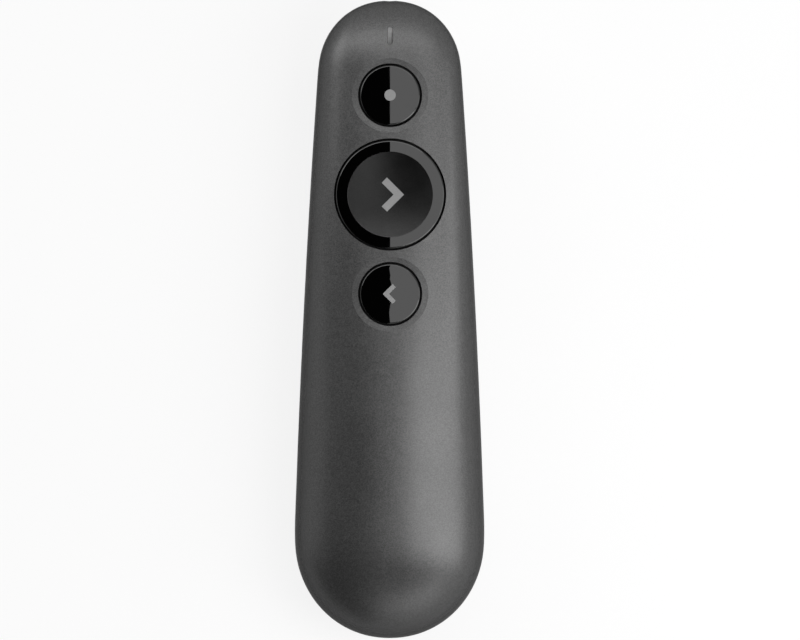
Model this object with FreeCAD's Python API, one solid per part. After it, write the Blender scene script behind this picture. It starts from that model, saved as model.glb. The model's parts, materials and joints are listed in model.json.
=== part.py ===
import FreeCAD, Part
import math
import os

from FreeCAD import Vector

os.makedirs("parts", exist_ok=True)

# A hand-held presentation clicker lying on its back, in millimetres.
# +Y points to the tip that the laser leaves by, +Z to the buttons, and z = 0 is the surface below it.

# Shells
wall = 2.0
lip_inset = 1.0
lip_height = 1.0
fit_gap = 0.1
slide_gap = 0.25
overrun = 3.0

# Battery cells, size AAA
cell_radius = 5.2
cell_length = 44.5
cell_side_gap = 0.9
cell_edge = 0.5
nub_radius = 1.9
nub_height = 1.0
crimp_depth = 0.25
crimp_width = 0.8
crimp_from_end = 1.6

# Battery springs and contact plates
spring_length = 4.2
spring_wide_radius = 3.9
spring_narrow_radius = 2.4
spring_wire_radius = 0.35
spring_turns_share = 3.0
contact_thickness = 0.4
contact_half_width = 4.0
contact_height = 8.4
contact_slack = 0.1
tab_half_width = 1.2

# Battery door
door_thickness = 1.5
door_margin = 1.7
door_rise = 2.55
door_past_boss = 4.35
tongue_length = 1.8
tongue_thickness = 0.7
tongue_half_width = 1.6
tongue_spread = 4.8
tongue_gap = 0.1
grip_half_width = 6.0
grip_pitch = 1.5
grip_groove_radius = 0.45
grip_from_end = 3.4
grip_grooves_share = 6

# Battery tray
cell_under_gap = 0.75
cell_over_gap = 0.55
tray_wall = 1.2
ear_thickness = 1.2
ear_radius = 3.1
ear_bridge_half_width = 1.6
divider_half_width = 0.25
divider_drop = 1.3

# Heights of the circuit board and the shells over the tray
board_over_tray = 2.6
board_thickness = 1.0
crown_over_board = 10.6

# Buttons
big_opening_radius = 12.1
small_opening_radius = 6.9
button_land = 2.4
button_side_gap = 0.45
button_proud = 0.3
button_top_wall = 1.2
button_skirt = 1.2
button_edge_round = 0.3
flange_overlap = 0.9
flange_gap = 0.15
flange_thickness = 0.8
pin_radius = 1.6
dish_radius = 9.2
dish_depth = 1.3
dish_edge_round = 0.15
countersink_width = 1.2
countersink_depth = 0.14
countersink_lead = 0.5

# Icons let into the buttons
icon_depth = 0.4
dot_radius = 1.22
next_icon_arm = 5.2
next_icon_stroke = 1.6
back_icon_arm = 3.0
back_icon_stroke = 0.95
next_icon_offset = 0.6
back_icon_offset = 0.2

# Places along the body, each from the piece before it
nose = 14.1
back_button_from_bay = 3.3
bay_from_tail = 22.1
tip_boss_from_tray = 7.0
tail_boss_from_tray = 4.5
board_past_laser_switch = 2.1
board_past_back_button = 13.6

# Side curve and ends of the outline, seen from the front
tip_side_room = 1.98
middle_side_room = 6.31
tail_side_room = 8.81
tip_round = 15.1
tail_round = 23.1
tip_round_power_share = 2.19
tail_round_power_share = 2.05

# Profile, seen from the side
parting_rise = 1.75
crown_from_tail = 41.4
crown_radius = 1139.0
belly_drop = 1.5
belly_level_from_tail = 59.4
belly_radius = 257.7
front_tail_power_share = 2.25
front_tip_power_share = 3.0
front_power_from_tail = 54.4
front_power_run = 45.0
rear_power_share = 2.8
rows_share = 23
columns_share = 17
ring_points_share = 24
dish_points_share = 13
halvings_share = 40

# Inner skin of the rear shell, which the battery door slides below
skin_margin = 1.3
skin_past_door = 2.75
skin_thickness = 1.25
skin_height = 5.4
bay_hole_gap = 0.3

# Case bosses and screws
case_boss_radius = 2.7
spigot_radius = 2.2
cup_radius = 3.1
cup_height = 4.4
cup_floor = 1.25
tip_boss_x = 9.6
tail_boss_x = 10.4
screw_radius = 0.95
screw_head_radius = 1.9
screw_head_height = 1.2
screw_head_pocket_gap = 0.3
screw_length = 7.0
screw_slot_width = 0.5
screw_slot_depth = 0.6
thread_gap = 0.05
clearance_hole_gap = 0.2

# Board bosses and screws
board_boss_radius = 1.8
board_boss_x = 11.0
tip_board_boss_from_button = 7.9
tail_board_boss_from_button = 7.9
board_screw_radius = 0.75
board_screw_head_radius = 1.5
board_screw_head_height = 0.9
board_screw_length = 4.0
board_inset = 0.6
board_notch_gap = 0.4

# Switches under the buttons
switch_half_width = 3.0
switch_height = 3.0
switch_lid_thickness = 0.25
switch_lid_inset = 0.2
stem_radius = 1.7
stem_rise = 0.8
stem_depth = 0.45
stem_hole_gap = 0.15
stem_hole_depth = 1.15
leg_reach = 1.2
leg_half_width = 0.4
leg_thickness = 0.3
leg_spread = 2.2

# Board components
chip_half_width = 2.5
chip_height = 0.9
chip_x = -4.2
crystal_x = 4.6
crystal_half_length = 1.6
crystal_half_width = 1.25
crystal_height = 0.8
capacitor_length = 1.6
capacitor_width = 0.8
capacitor_height = 0.8
capacitor_pitch = 2.6
capacitors_share = 6
led_half_width = 0.8
led_height = 1.1
led_from_board_end = 1.1

# Light pipe and its slot
slot_width = 1.26
slot_length = 3.9
slot_from_tip = 8.1
pipe_recess = 0.45
pipe_side_gap = 0.08
pipe_over_board = 2.5
pipe_thickness = 1.3
pipe_foot_gap = 0.2

# Laser module
barrel_radius = 3.0
barrel_wall = 0.6
barrel_from_board = 1.0
barrel_from_tip = 3.2
barrel_lip = 0.7
aperture_radius = 1.3
lens_thickness = 1.4
lens_crown = 0.35
lens_from_lip = 0.2
diode_base_radius = 2.3
diode_base_thickness = 0.9
diode_can_radius = 1.6
diode_can_height = 2.2
diode_from_driver = 2.0
diode_leg_radius = 0.2
diode_leg_spread = 0.9
driver_thickness = 0.7
driver_radius = 2.9
lead_radius = 0.3
lead_x = 2.0
lead_on_board = 1.6
holder_half_width = 6.0
holder_from_tip = 7.0
holder_length = 5.0
holder_over_barrel = 0.3
laser_bore_radius = 1.4
window_thickness = 1.0
window_recess = 0.25
window_half_gap = 0.1

# USB receiver and its dock
plug_width = 12.0
plug_height = 4.5
plug_length = 11.8
plug_wall = 0.3
dock_over_skin = 2.8
dock_from_tail = 8.9
dock_wall = 1.0
dock_gap = 0.15
receiver_from_tail = 7.2
receiver_half_width = 7.2
receiver_height = 5.8
receiver_window_gap = 0.25
receiver_rim = 1.15
plug_socket_depth = 1.0
tongue_plastic_height = 1.9
receiver_contact_width = 1.0
receiver_contact_pitch = 2.3
receiver_contact_height = 0.2
receiver_contact_length = 8.0
receiver_contacts_share = 4
grip_notch_radius = 0.6
grip_notch_from_top = 1.3
plug_window_half = 1.1
plug_window_spread = 2.6
plug_window_from_end = 3.4

# Battery bay, from its cells
cell_x = cell_radius + cell_side_gap / 2
bay_half_width = cell_x + cell_radius + cell_side_gap / 2
bay_length = cell_length + spring_length + 2 * contact_thickness + contact_slack
tray_half_width = bay_half_width + tray_wall
cell_axis_z = door_thickness + cell_under_gap + cell_radius
tray_under_z = cell_axis_z + cell_radius + cell_over_gap
tray_top_z = tray_under_z + tray_wall

# Heights, from the rest surface up
skin_inset = door_thickness + slide_gap
board_under_z = tray_top_z + board_over_tray
board_top_z = board_under_z + board_thickness
dock_under_z = skin_inset + skin_thickness + dock_over_skin
plug_centre_height = dock_under_z + dock_wall + dock_gap + plug_height / 2
receiver_window_top_z = plug_centre_height + receiver_height / 2 + receiver_window_gap
parting_middle_z = receiver_window_top_z + receiver_rim + parting_rise
crown_z = board_top_z + crown_over_board

# Length, from the tail: bay, buttons and nose
button_spacing = big_opening_radius + small_opening_radius + button_land
laser_from_tip = small_opening_radius + nose
length = bay_from_tail + bay_length + back_button_from_bay + 2 * button_spacing + laser_from_tip
tip_y = length / 2
tail_y = -length / 2
bay_tail_y = tail_y + bay_from_tail
bay_tip_y = bay_tail_y + bay_length
laser_y = tip_y - laser_from_tip
next_y = laser_y - button_spacing
back_y = next_y - button_spacing
tip_boss_y = bay_tip_y + tray_wall + tip_boss_from_tray
tail_boss_y = bay_tail_y - tray_wall - tail_boss_from_tray
door_tip_y = tip_boss_y + door_past_boss
board_tip_y = laser_y + switch_half_width + board_past_laser_switch
board_tail_y = back_y - board_past_back_button
slot_y = tip_y - slot_from_tip
crown_y = tail_y + crown_from_tail
belly_level_y = tail_y + belly_level_from_tail
front_power_y = tail_y + front_power_from_tail
dock_mouth_y = tail_y + dock_from_tail
receiver_inner_y = tail_y + receiver_from_tail
plug_end_y = receiver_inner_y + plug_length

# Half-widths that the side curve passes through
tip_half_width = tray_half_width + tip_side_room
middle_half_width = tray_half_width + middle_side_room
tail_half_width = tray_half_width + tail_side_room

# Button caps and their switches
big_cap_radius = big_opening_radius - button_side_gap
small_cap_radius = small_opening_radius - button_side_gap
flange_top_inset = wall + flange_gap
flange_under_inset = flange_top_inset + flange_thickness
switch_top_z = board_top_z + switch_height
stem_top_z = switch_top_z + stem_rise

# Battery door and its opening
door_half_width = bay_half_width + door_margin
door_top_z = door_thickness + door_rise
opening_half_width = door_half_width + slide_gap
opening_top_z = door_top_z + slide_gap
opening_tip_y = door_tip_y + slide_gap

# Laser axis
laser_z = parting_middle_z + parting_rise
barrel_tail_y = board_tip_y + barrel_from_board
barrel_tip_y = tip_y - barrel_from_tip

case_bosses = [(side * tip_boss_x, tip_boss_y) for side in (-1, 1)]
case_bosses += [(side * tail_boss_x, tail_boss_y) for side in (-1, 1)]
board_bosses = [(side * board_boss_x, laser_y - tip_board_boss_from_button) for side in (-1, 1)]
board_bosses += [(side * board_boss_x, back_y - tail_board_boss_from_button) for side in (-1, 1)]


# Body surface

def end_factor(y, inset):
    """How far the ends have closed the section at y: 1 in the middle, 0 at the tip and the tail."""
    toward_tip = (y - (tip_y - tip_round)) / (tip_round - inset)
    toward_tail = (tail_y + tail_round - y) / (tail_round - inset)
    tip = (1 - min(max(toward_tip, 0), 1) ** tip_round_power_share) ** (1 / tip_round_power_share)
    tail = (1 - min(max(toward_tail, 0), 1) ** tail_round_power_share) ** (1 / tail_round_power_share)
    return tip * tail


def half_width(y, inset):
    """Half the body's width at y, by a curve through the three given half-widths."""
    u = y / tip_y
    side = tip_half_width * u * (u + 1) / 2 + middle_half_width * (1 - u * u)
    side += tail_half_width * u * (u - 1) / 2
    return (side - inset) * end_factor(y, inset)


def parting_z(y):
    """Height of the plane where the front and rear shells meet."""
    return parting_middle_z + parting_rise * y / tip_y


def front_depth(y, inset):
    """Height of the front surface over the parting plane, along the middle."""
    crown = crown_z - (y - crown_y) ** 2 / (2 * crown_radius)
    return (crown - parting_z(y) - inset) * end_factor(y, inset)


def rear_depth(y, inset):
    """Depth of the rounded rear surface under the parting plane, along the middle."""
    belly = -belly_drop + max(y - belly_level_y, 0) ** 2 / (2 * belly_radius)
    return (parting_z(y) - belly - inset) * end_factor(y, inset)


def front_power(y):
    """Squareness of the front section, from round at the tail to full at the buttons."""
    share = min(max((y - front_power_y) / front_power_run, 0), 1)
    return front_tail_power_share + (front_tip_power_share - front_tail_power_share) * share


def front_z(x, y, inset=0):
    """Height of the front surface at a place."""
    power = front_power(y)
    across = min(abs(x) / half_width(y, inset), 1)
    return parting_z(y) + front_depth(y, inset) * (1 - across ** power) ** (1 / power)


def rear_z(x, y, inset=0):
    """Height of the rounded rear surface at a place, without its flat."""
    across = min(abs(x) / half_width(y, inset), 1)
    rise = (1 - across ** rear_power_share) ** (1 / rear_power_share)
    return parting_z(y) - rear_depth(y, inset) * rise


def section_row(y, inset, front):
    """Points of one section's curve, from the +X side to the -X side."""
    power = front_power(y) if front else rear_power_share
    depth = front_depth(y, inset) if front else -rear_depth(y, inset)
    row = []
    for column in range(columns_share):
        turn = math.pi * column / (columns_share - 1)
        along = abs(math.cos(turn)) ** (2 / power) * (1 if column < columns_share / 2 else -1)
        up = max(math.sin(turn), 0) ** (2 / power)
        row.append(Vector(half_width(y, inset) * along, y, parting_z(y) + depth * up))
    return row


def body_half(inset, front):
    """Solid between the parting plane and the front or rear surface, inset by a wall."""
    reach = tip_y - inset
    grid = []
    for number in range(rows_share):
        y = -reach * math.cos(math.pi * number / (rows_share - 1))
        closed = number in (0, rows_share - 1)
        grid.append([Vector(0, y, parting_z(y))] * columns_share if closed
                    else section_row(y, inset, front))
    surface = Part.BSplineSurface()
    surface.interpolate(grid)
    skin = surface.toShape()
    rim = [edge for edge in skin.Edges if not edge.Degenerated]
    faces = Part.makeCompound([skin, Part.Face(Part.Wire(rim))])
    faces.sewShape()
    return Part.Solid(faces.Shells[0])


def box(x0, x1, y0, y1, z0, z1):
    """Box between two corners."""
    return Part.makeBox(x1 - x0, y1 - y0, z1 - z0, Vector(x0, y0, z0))


def post(x, y, radius, z0, z1):
    """Upright round bar."""
    return Part.makeCylinder(radius, z1 - z0, Vector(x, y, z0))


def rod(x, z, radius, y0, y1):
    """Round bar along Y."""
    return Part.makeCylinder(radius, y1 - y0, Vector(x, y0, z), Vector(0, 1, 0))


def parting_band(low, high):
    """Layer between two heights over the tilted parting plane."""
    low_y = tail_y - overrun
    high_y = tip_y + overrun
    corners = [
        Vector(-length, low_y, parting_z(low_y) + low),
        Vector(-length, high_y, parting_z(high_y) + low),
        Vector(-length, high_y, parting_z(high_y) + high),
        Vector(-length, low_y, parting_z(low_y) + high),
    ]
    return Part.Face(Part.makePolygon(corners + corners[:1])).extrude(Vector(2 * length, 0, 0))


def parting_plate(inset, low, high):
    """Upright plate of the body's inset outline, between two heights over the parting plane."""
    outline = min(body_half(inset, True).Faces, key=lambda face: face.Area)
    return outline.translated(Vector(0, 0, low)).extrude(Vector(0, 0, high - low))


front_skin = body_half(0, True)
rear_skin = body_half(0, False)
front_hollow = body_half(wall, True)
below_flat = box(-length, length, -length, length, -length, 0)


# Shells

def surface_ring(y, radius, rise):
    """Closed curve round a button's axis that keeps a height over the front surface."""
    points = []
    for number in range(ring_points_share):
        turn = 2 * math.pi * number / ring_points_share
        x = radius * math.cos(turn)
        along = y + radius * math.sin(turn)
        points.append(Vector(x, along, front_z(x, along) + rise))
    curve = Part.BSplineCurve()
    curve.interpolate(Points=points, PeriodicFlag=True)
    return Part.Wire([curve.toShape()])


def level_ring(y, radius, z):
    """Level circle round a button's axis."""
    return Part.Wire([Part.Circle(Vector(0, y, z), Vector(0, 0, 1), radius).toShape()])


def countersink(y):
    """Tool for the shallow cone round a small button's opening."""
    slope = countersink_depth / countersink_width
    inner = small_opening_radius - countersink_lead
    outer = small_opening_radius + countersink_width + countersink_lead
    low = front_z(small_opening_radius, y) - wall
    rings = [
        level_ring(y, inner - countersink_lead, low),
        surface_ring(y, inner, -(countersink_width + countersink_lead) * slope),
        surface_ring(y, outer, countersink_lead * slope),
        level_ring(y, outer, crown_z + overrun),
    ]
    return Part.makeLoft(rings, True, True)


def slot(width, span, z0, z1):
    """Upright slot with round ends, where the status light shines through."""
    radius = width / 2
    reach = span / 2 - radius
    bar = box(-radius, radius, slot_y - reach, slot_y + reach, z0, z1)
    ends = [post(0, slot_y + side * reach, radius, z0, z1) for side in (-1, 1)]
    return bar.fuse(ends).removeSplitter()


def laser_bore():
    """Bore through the tip, widened to take the barrel's end."""
    bore = rod(0, laser_z, laser_bore_radius, barrel_tip_y, tip_y + overrun)
    return bore.fuse(rod(0, laser_z, barrel_radius + fit_gap, barrel_tip_y - overrun,
                         barrel_tip_y + fit_gap))


def front_shell():
    """Front shell with its button openings, bosses and rebate for the rear lip."""
    shell = front_skin.cut(front_hollow)
    rebate = body_half(lip_inset, True).common(parting_band(-overrun, lip_height + fit_gap))
    shell = shell.cut(rebate)
    bosses = []
    for x, y in case_bosses:
        bosses.append(post(x, y, case_boss_radius, cup_height + ear_thickness, crown_z))
        bosses.append(post(x, y, spigot_radius, cup_height, crown_z))
    for x, y in board_bosses:
        bosses.append(post(x, y, board_boss_radius, board_top_z, crown_z))
    room = body_half(wall - fit_gap, True).fuse(parting_band(-crown_z, 0))
    shell = shell.fuse([boss.common(room) for boss in bosses])
    for y in (laser_y, back_y):
        shell = shell.cut(countersink(y))
    holes = [slot(slot_width, slot_length, board_top_z, crown_z + overrun)]
    holes.append(laser_bore())
    for y, radius in ((laser_y, small_opening_radius), (next_y, big_opening_radius),
                      (back_y, small_opening_radius)):
        holes.append(post(0, y, radius, board_top_z, crown_z + overrun))
    for x, y in case_bosses:
        holes.append(post(x, y, screw_radius + thread_gap, 0, cup_height + screw_length))
    for x, y in board_bosses:
        holes.append(post(x, y, board_screw_radius + thread_gap, board_under_z,
                          board_under_z + board_screw_length))
    return shell.cut(holes)


def rear_hollow_from(inset):
    """Hollow of the rear shell, inset by a wall and level over the flat belly."""
    return body_half(inset, False).cut(box(-length, length, -length, length, -length, inset))


def rear_shell():
    """Rear shell with its lip, battery door opening, inner skin, screw cups and receiver window."""
    skin_half_width = opening_half_width + skin_margin
    skin_room = box(-skin_half_width, skin_half_width, tail_y - overrun,
                    opening_tip_y + skin_past_door, 0, skin_height)
    skin_hollow = rear_hollow_from(skin_inset + skin_thickness)
    hollow = rear_hollow_from(wall).cut(skin_room).fuse(skin_hollow.common(skin_room))
    shell = rear_skin.cut(below_flat).cut(hollow)
    opening = box(-opening_half_width, opening_half_width, tail_y - overrun, opening_tip_y,
                  -overrun, opening_top_z)
    over_door = sliding_limit().translated(Vector(0, 0, slide_gap))
    shell = shell.cut(opening.cut(rear_hollow_from(skin_inset)).cut(over_door))
    cups = [post(x, y, cup_radius, skin_inset, cup_height) for x, y in case_bosses]
    cup_room = body_half(skin_inset, False)
    lip = parting_plate(lip_inset + fit_gap, 0, lip_height)
    lip = lip.cut(parting_plate(wall - fit_gap, -overrun, lip_height + overrun))
    shell = shell.fuse([cup.common(cup_room) for cup in cups] + [lip])
    reach = bay_half_width + bay_hole_gap
    holes = [box(-reach, reach, bay_tail_y - tray_wall, bay_tip_y + tray_wall, 0,
                 skin_height + overrun)]
    for x, y in case_bosses:
        pocket_radius = screw_head_radius + screw_head_pocket_gap
        holes.append(post(x, y, pocket_radius, 0, cup_height - cup_floor))
        holes.append(post(x, y, screw_radius + clearance_hole_gap, 0, cup_height + overrun))
        holes.append(post(x, y, spigot_radius + fit_gap, cup_height, skin_height + overrun))
    window_half_width = receiver_half_width + receiver_window_gap
    window_low = plug_centre_height - receiver_height / 2 - receiver_window_gap
    holes.append(box(-window_half_width, window_half_width, tail_y - overrun, dock_mouth_y,
                     window_low, receiver_window_top_z))
    slit_low = door_thickness - tongue_thickness - tongue_gap
    slit_reach = tongue_half_width + tongue_gap
    for place in (-1, 0, 1):
        x = place * tongue_spread
        holes.append(box(x - slit_reach, x + slit_reach, opening_tip_y - overrun,
                         opening_tip_y + tongue_length, slit_low, skin_inset))
    holes.append(laser_bore())
    return shell.cut(holes)


def sliding_limit():
    """Space over the door's path: above its own inner curve where the body is widest."""
    widest_y = tail_y + tail_round
    row = section_row(widest_y, door_thickness, False)
    curve = Part.BSplineCurve()
    curve.interpolate(row)
    chord = Part.LineSegment(row[-1], row[0])
    face = Part.Face(Part.Wire([curve.toShape(), chord.toShape()]))
    start_y = tail_boss_y - screw_head_radius - slide_gap
    space = face.translated(Vector(0, start_y - widest_y, 0)).extrude(Vector(0, length, 0))
    return space.cut(box(-length, length, -length, length, -length, door_thickness))


def battery_door():
    """Sliding door that wraps up the tail, with tongues at its front edge and finger grooves."""
    room = box(-door_half_width, door_half_width, tail_y - overrun, door_tip_y, 0, door_top_z)
    door = rear_skin.common(room).cut(rear_hollow_from(door_thickness)).cut(sliding_limit())
    for place in (-1, 0, 1):
        x = place * tongue_spread
        tongue = box(x - tongue_half_width, x + tongue_half_width, door_tip_y - tongue_length,
                     door_tip_y + tongue_length, door_thickness - tongue_thickness, door_thickness)
        door = door.fuse(tongue)
    for number in range(grip_grooves_share):
        y = door_tip_y - grip_from_end - number * grip_pitch
        groove = Part.makeCylinder(grip_groove_radius, 2 * grip_half_width,
                                   Vector(-grip_half_width, y, 0), Vector(1, 0, 0))
        door = door.cut(groove)
    return door


# Buttons

def upright_cap(y, cap_radius, flange_radius, hollow_inset):
    """Button cap that follows the front surface, with a flange under the shell and a centre pin."""
    crown = front_skin.translated(Vector(0, 0, button_proud))
    low = board_top_z
    cap = post(0, y, cap_radius, low, crown_z + overrun).common(crown)
    flange = post(0, y, flange_radius, low, crown_z).common(body_half(flange_top_inset, True))
    cap = cap.fuse(flange)
    cap = cap.cut(body_half(flange_under_inset, True))
    hollow = post(0, y, cap_radius - button_skirt, low, crown_z).common(body_half(hollow_inset, True))
    cap = cap.cut(hollow)
    rim = [edge for edge in cap.Edges
           if edge.BoundBox.XLength > 2 * cap_radius - button_side_gap
           and edge.BoundBox.XLength < 2 * cap_radius + button_side_gap
           and edge.BoundBox.ZMin > front_z(cap_radius, y) - button_proud]
    cap = cap.makeFillet(button_edge_round, rim)
    pin = post(0, y, pin_radius, stem_top_z, front_z(0, y) - hollow_inset + fit_gap)
    return cap.fuse(pin)


def small_cap(y):
    """Cap of the laser button or the back button."""
    return upright_cap(y, small_cap_radius, small_opening_radius + flange_overlap,
                       button_top_wall - button_proud)


def big_cap():
    """Cap of the next button, with a dished top."""
    hollow_inset = dish_depth - button_proud + button_top_wall
    cap = upright_cap(next_y, big_cap_radius, big_opening_radius + flange_overlap, hollow_inset)
    reach = dish_radius + button_side_gap
    steps = [2 * reach * number / (dish_points_share - 1) - reach for number in range(dish_points_share)]
    grid = []
    for x in steps:
        points = []
        for along in steps:
            y = next_y + along
            spread = (x * x + (y - next_y) ** 2) / dish_radius ** 2
            z = front_z(x, y) + button_proud - dish_depth * (1 - spread)
            points.append(Vector(x, y, z))
        grid.append(points)
    surface = Part.BSplineSurface()
    surface.interpolate(grid)
    cap = cap.cut(surface.toShape().extrude(Vector(0, 0, crown_z)))
    rim = [edge for edge in cap.Edges
           if abs(edge.BoundBox.XLength - 2 * dish_radius) < button_side_gap
           and edge.BoundBox.ZMin > front_z(big_cap_radius, next_y)]
    return cap.makeFillet(dish_edge_round, rim)


def chevron(y, arm, stroke, pointing):
    """Square-ended chevron that points to +X or -X, from two bars that meet at its tip."""
    low = board_top_z + switch_height
    high = crown_z + overrun
    bars = box(-arm, 0, -stroke, 0, low, high).fuse(box(-stroke, 0, -arm, 0, low, high))
    bars = bars.removeSplitter()
    bars.rotate(Vector(0, 0, 0), Vector(0, 0, 1), -45)
    if pointing < 0:
        bars = bars.mirror(Vector(0, 0, 0), Vector(1, 0, 0))
    width = (arm + stroke) / math.sqrt(2)
    bars.translate(Vector(pointing * width / 2, y, 0))
    return bars


def inlay(cap, prism, floor_z):
    """Split a cap into the icon that fills a prism above a floor, and the cap without it."""
    above = prism.common(box(-length, length, -length, length, floor_z, crown_z + overrun))
    return cap.common(above), cap.cut(above)


def switch_stem(y):
    """Stem of a switch, which its button pushes down."""
    return post(0, y, stem_radius, switch_top_z - stem_depth, stem_top_z)


def switch_body(y):
    """Switch housing with a guide hole for its stem, a lid and four legs on the board."""
    lid = switch_half_width - switch_lid_inset
    body = box(-switch_half_width, switch_half_width, y - switch_half_width, y + switch_half_width,
               board_top_z, switch_top_z - switch_lid_thickness)
    body = body.fuse(box(-lid, lid, y - lid, y + lid, switch_top_z - switch_lid_thickness,
                         switch_top_z))
    for side in (-1, 1):
        for place in (-1, 1):
            x0 = min(side * switch_half_width, side * (switch_half_width + leg_reach))
            leg_y = y + place * leg_spread
            body = body.fuse(box(x0, x0 + leg_reach, leg_y - leg_half_width, leg_y + leg_half_width,
                                 board_top_z, board_top_z + leg_thickness))
    return body.cut(post(0, y, stem_radius + stem_hole_gap, switch_top_z - stem_hole_depth,
                         switch_top_z + overrun))


# Circuit board

def main_board():
    """Circuit board that hangs from the front shell, notched round the case bosses."""
    board = box(-length, length, board_tail_y, board_tip_y, board_under_z, board_top_z)
    board = board.common(body_half(wall + board_inset, True))
    for x, y in case_bosses[:2]:
        board = board.cut(post(x, y, case_boss_radius + board_notch_gap, 0, crown_z))
    for x, y in board_bosses:
        board = board.cut(post(x, y, board_screw_radius + clearance_hole_gap, 0, crown_z))
    return max(board.Solids, key=lambda piece: piece.Volume)


def radio_chip():
    """Radio chip between the back and next switches."""
    y = (back_y + next_y) / 2
    return box(chip_x - chip_half_width, chip_x + chip_half_width, y - chip_half_width,
               y + chip_half_width, board_top_z, board_top_z + chip_height)


def crystal_can():
    """Crystal beside the radio chip."""
    y = (back_y + next_y) / 2
    return box(crystal_x - crystal_half_length, crystal_x + crystal_half_length,
               y - crystal_half_width, y + crystal_half_width, board_top_z,
               board_top_z + crystal_height)


def board_capacitors():
    """Row of capacitors between the next and laser switches."""
    y = (next_y + laser_y) / 2
    pieces = []
    for number in range(capacitors_share):
        x = (number - (capacitors_share - 1) / 2) * capacitor_pitch
        pieces.append(box(x - capacitor_width / 2, x + capacitor_width / 2,
                          y - capacitor_length / 2, y + capacitor_length / 2, board_top_z,
                          board_top_z + capacitor_height))
    return Part.makeCompound(pieces)


def status_led():
    """Status light on the board, under the foot of its light pipe."""
    y = board_tip_y - led_from_board_end
    return box(-led_half_width, led_half_width, y - led_half_width, y + led_half_width,
               board_top_z, board_top_z + led_height)


def light_pipe():
    """Clear pipe from the status light to the slot in the front shell."""
    led_y = board_tip_y - led_from_board_end
    low = board_top_z + pipe_over_board
    high = low + pipe_thickness
    half = led_half_width
    blade = slot(slot_width - 2 * pipe_side_gap, slot_length - 2 * pipe_side_gap, low,
                 front_z(0, slot_y) - pipe_recess)
    arm = box(-half, half, led_y - half, slot_y, low, high)
    foot = box(-half, half, led_y - half, led_y + half, board_top_z + led_height + pipe_foot_gap, high)
    return blade.fuse([arm, foot]).removeSplitter()


def board_screws():
    """Four screws that hold the board to the front shell, heads below."""
    pieces = []
    for x, y in board_bosses:
        head_z = board_under_z - board_screw_head_height
        head = post(x, y, board_screw_head_radius, head_z, board_under_z)
        slit = box(x - screw_slot_width / 2, x + screw_slot_width / 2, y - board_screw_head_radius,
                   y + board_screw_head_radius, head_z - overrun, head_z + screw_slot_depth / 2)
        shank = post(x, y, board_screw_radius, head_z + screw_slot_depth,
                     board_under_z + board_screw_length)
        pieces.append(head.cut(slit).fuse(shank))
    return Part.makeCompound(pieces)


def case_screws():
    """Four screws that hold the shells together, heads hidden by the battery door."""
    pieces = []
    for x, y in case_bosses:
        under_z = cup_height - cup_floor
        head_z = under_z - screw_head_height
        head = post(x, y, screw_head_radius, head_z, under_z)
        for turn in (0, 90):
            slit = box(-screw_slot_width / 2, screw_slot_width / 2, -screw_head_radius / 2,
                       screw_head_radius / 2, head_z - overrun, head_z + screw_slot_depth)
            slit.rotate(Vector(0, 0, 0), Vector(0, 0, 1), turn)
            slit.translate(Vector(x, y, 0))
            head = head.cut(slit)
        shank = post(x, y, screw_radius, under_z, under_z + screw_length)
        pieces.append(head.fuse(shank))
    return Part.makeCompound(pieces)


# Laser module

def laser_barrel():
    """Brass barrel with a lip round its aperture."""
    bore = barrel_radius - barrel_wall
    barrel = rod(0, laser_z, barrel_radius, barrel_tail_y, barrel_tip_y)
    barrel = barrel.cut(rod(0, laser_z, bore, barrel_tail_y - overrun, barrel_tip_y - barrel_lip))
    return barrel.cut(rod(0, laser_z, aperture_radius, barrel_tail_y, barrel_tip_y + overrun))


def laser_lens():
    """Lens behind the barrel's lip, crowned on both faces."""
    radius = barrel_radius - barrel_wall - fit_gap
    front = barrel_tip_y - barrel_lip - lens_from_lip
    back = front - lens_thickness
    sphere = (radius ** 2 + lens_crown ** 2) / (2 * lens_crown)
    half = radius / 2
    sag = sphere - math.sqrt(sphere ** 2 - half ** 2)
    outline = [
        Part.Arc(Vector(0, front, laser_z), Vector(half, front - sag, laser_z),
                 Vector(radius, front - lens_crown, laser_z)),
        Part.LineSegment(Vector(radius, front - lens_crown, laser_z),
                         Vector(radius, back + lens_crown, laser_z)),
        Part.Arc(Vector(radius, back + lens_crown, laser_z), Vector(half, back + sag, laser_z),
                 Vector(0, back, laser_z)),
        Part.LineSegment(Vector(0, back, laser_z), Vector(0, front, laser_z)),
    ]
    face = Part.Face(Part.Wire([edge.toShape() for edge in outline]))
    return face.revolve(Vector(0, 0, laser_z), Vector(0, 1, 0), 360)


def laser_diode():
    """Diode can on its base, with two legs to the driver board."""
    base_y = barrel_tail_y + diode_from_driver
    diode = rod(0, laser_z, diode_base_radius, base_y, base_y + diode_base_thickness)
    diode = diode.fuse(rod(0, laser_z, diode_can_radius, base_y,
                           base_y + diode_base_thickness + diode_can_height))
    for side in (-1, 1):
        diode = diode.fuse(rod(side * diode_leg_spread, laser_z, diode_leg_radius, barrel_tail_y,
                               base_y))
    return diode


def laser_driver_board():
    """Round driver board at the barrel's tail."""
    return rod(0, laser_z, driver_radius, barrel_tail_y - driver_thickness, barrel_tail_y)


def laser_leads():
    """Two leads from the main board to the driver board."""
    pieces = []
    for side in (-1, 1):
        pieces.append(rod(side * lead_x, board_top_z + lead_radius, lead_radius,
                          board_tip_y - lead_on_board, barrel_tail_y - driver_thickness))
    return Part.makeCompound(pieces)


def laser_holder():
    """Block between the shells that carries the barrel."""
    tip = tip_y - holder_from_tip
    tail = tip - holder_length
    top = laser_z + barrel_radius + holder_over_barrel
    room = box(-holder_half_width, holder_half_width, tail, tip, 0, top)
    upper = body_half(wall + lip_inset, True).common(room)
    lower = body_half(wall + fit_gap, False).common(room)
    block = upper.fuse(lower).removeSplitter()
    return block.cut(rod(0, laser_z, barrel_radius + fit_gap / 2, tail - overrun, tip + overrun))


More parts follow.
